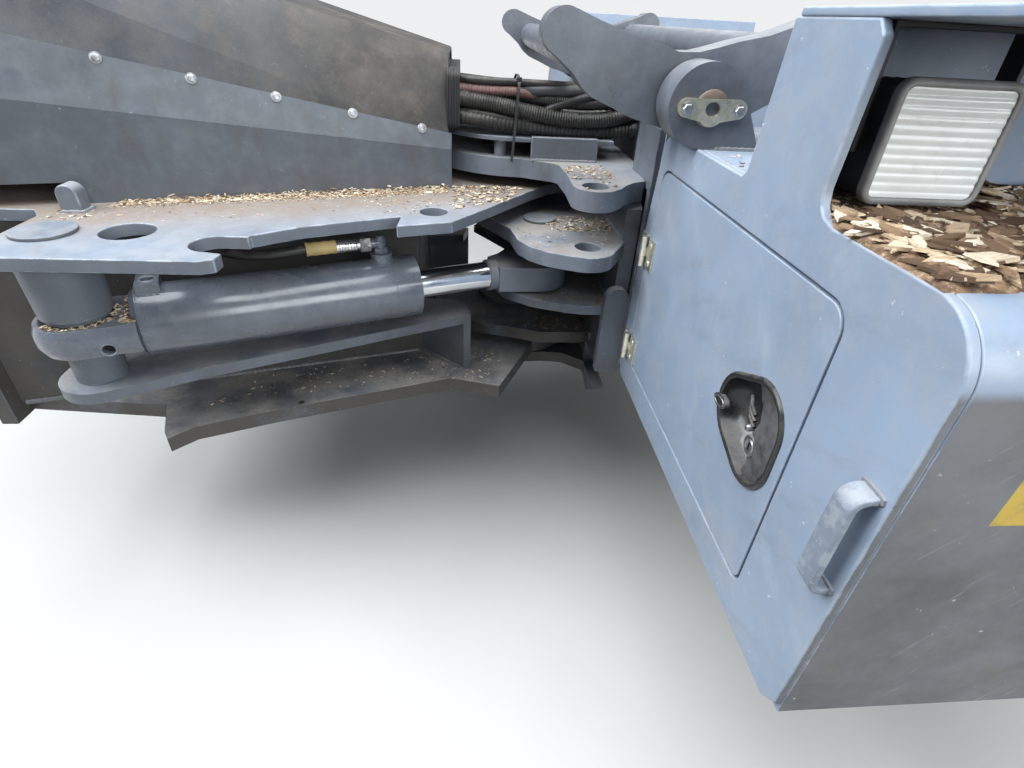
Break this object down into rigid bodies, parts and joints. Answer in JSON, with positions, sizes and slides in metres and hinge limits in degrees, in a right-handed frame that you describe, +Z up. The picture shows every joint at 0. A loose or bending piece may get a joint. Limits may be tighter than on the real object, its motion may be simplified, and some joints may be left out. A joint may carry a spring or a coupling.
{
  "type": "forestry harvester centre joint",
  "caption": "Articulated centre joint of a forestry harvester: two frame ends on a steering hinge, with cylinders, covers, hoses, storage boxes, work lamps and levelling cradle.",
  "frame": {"origin": "middle of the rear end plate's outer face, a little under the steering cylinders' axes", "axes": "+X from the rear frame to the front frame, +Y to the far side, +Z up"},
  "size_m": [1.86, 2.16, 0.893],
  "materials": {
    "frame_paint": "worn satin dark blue-grey paint",
    "box_paint": "scuffed satin blue-grey paint",
    "cover_paint": "satin dark blue-grey paint with dust",
    "hood_coat": "textured dark grey coating with grime",
    "cylinder_paint": "satin dark blue-grey paint",
    "chrome": "polished chrome",
    "pin_steel": "worn paint over steel",
    "zinc": "zinc plate, slightly yellow",
    "black_plastic": "matt black plastic",
    "hose_rubber": "matt black rubber with dust",
    "lens": "ribbed clear lens",
    "lamp_metal": "black coated finned casting",
    "cast_paint": "dark grey-blue paint on a casting"
  },
  "bodies": {
    "rear_frame": {"rear_end_plate": "frame_paint", "rear_upper_plate": "frame_paint", "rear_lower_plate": "frame_paint", "rear_webs": "frame_paint", "shelves": "frame_paint", "base_bosses": "frame_paint", "base_pins": "pin_steel", "cover_lugs": "frame_paint", "near_side_cover": "cover_paint", "far_side_cover": "cover_paint", "hood": "hood_coat", "rear_hose_plate": "black_plastic", "joint_hoses": "hose_rubber"},
    "front_frame": {"front_top_arm": "frame_paint", "rod_clevis_plate": "frame_paint", "rod_lug_plate": "frame_paint", "front_lower_arm": "frame_paint", "front_bottom_arm": "frame_paint", "hinge_pins": "pin_steel", "rod_pin_heads": "pin_steel", "front_end_plate": "frame_paint", "front_beam": "frame_paint", "front_flange": "frame_paint", "hose_carrier": "frame_paint", "front_hose_plate": "black_plastic", "near_box_front": "box_paint", "far_box_front": "box_paint", "near_box_body": "box_paint", "far_box_body": "box_paint", "near_deck": "box_paint", "far_deck": "box_paint", "grab_handles": "box_paint", "door_hinges": "zinc", "lamp_brackets": "lamp_metal", "cradle_bearings": "cast_paint"},
    "near_barrel_body": {"near_barrel": "cylinder_paint"},
    "far_barrel_body": {"far_barrel": "cylinder_paint"},
    "near_rod_body": {"near_rod": "chrome"},
    "far_rod_body": {"far_rod": "chrome"},
    "near_door_body": {"near_door": "box_paint", "near_latch": "black_plastic", "near_door_leaves": "zinc"},
    "far_door_body": {"far_door": "box_paint", "far_latch": "black_plastic", "far_door_leaves": "zinc"},
    "near_lamp_body": {"near_lamp_housing": "lamp_metal", "near_lamp_lens": "lens"},
    "far_lamp_body": {"far_lamp_housing": "lamp_metal", "far_lamp_lens": "lens"},
    "cradle_body": {"cradle": "cast_paint"}
  },
  "joints": [
    {"name": "steer", "type": "hinge", "parent": "rear_frame", "child": "front_frame", "pos_m": [1, 0, 0], "axis": [0, 0, 1], "range_deg": [-38, 38], "deforming": ["joint_hoses"]},
    {"name": "near_door_hinge", "type": "hinge", "parent": "front_frame", "child": "near_door_body", "pos_m": [1.202, -0.421, 0.0235], "axis": [0, 0, -1], "range_deg": [0, 55]},
    {"name": "far_door_hinge", "type": "hinge", "parent": "front_frame", "child": "far_door_body", "pos_m": [1.202, 0.421, 0.0235], "axis": [0, 0, -1], "range_deg": [-55, 0]},
    {"name": "cradle_tilt", "type": "hinge", "parent": "front_frame", "child": "cradle_body", "pos_m": [1.212, 0, 0.376], "axis": [0, 1, 0], "range_deg": [-8, 8]},
    {"name": "near_lamp_tilt", "type": "hinge", "parent": "front_frame", "child": "near_lamp_body", "pos_m": [1.316, -0.812, 0.388], "axis": [1, 0, 0], "range_deg": [-8, 8]},
    {"name": "far_lamp_tilt", "type": "hinge", "parent": "front_frame", "child": "far_lamp_body", "pos_m": [1.316, 0.812, 0.388], "axis": [-1, 0, 0], "range_deg": [-8, 8]},
    {"name": "near_barrel_swing", "type": "hinge", "parent": "rear_frame", "child": "near_barrel_body", "pos_m": [0.277, -0.525, 0.015], "axis": [0, 0, 1], "range_deg": [-3, 3]},
    {"name": "far_barrel_swing", "type": "hinge", "parent": "rear_frame", "child": "far_barrel_body", "pos_m": [0.277, 0.525, 0.015], "axis": [0, 0, 1], "range_deg": [-3, 3]},
    {"name": "near_rod_slide", "type": "slide", "parent": "near_barrel_body", "child": "near_rod_body", "axis": [0.9337, 0.358, 0], "range_m": [-0.142, 0.142]},
    {"name": "far_rod_slide", "type": "slide", "parent": "far_barrel_body", "child": "far_rod_body", "axis": [0.9337, -0.358, 0], "range_m": [-0.142, 0.142]}
  ],
  "couplings": [
    {"joint": "near_barrel_swing", "follows": "steer", "ratio": -0.0738},
    {"joint": "far_barrel_swing", "follows": "steer", "ratio": -0.0738},
    {"joint": "near_rod_slide", "follows": "steer", "m_per_rad": 0.2115},
    {"joint": "far_rod_slide", "follows": "steer", "m_per_rad": -0.2115}
  ]
}
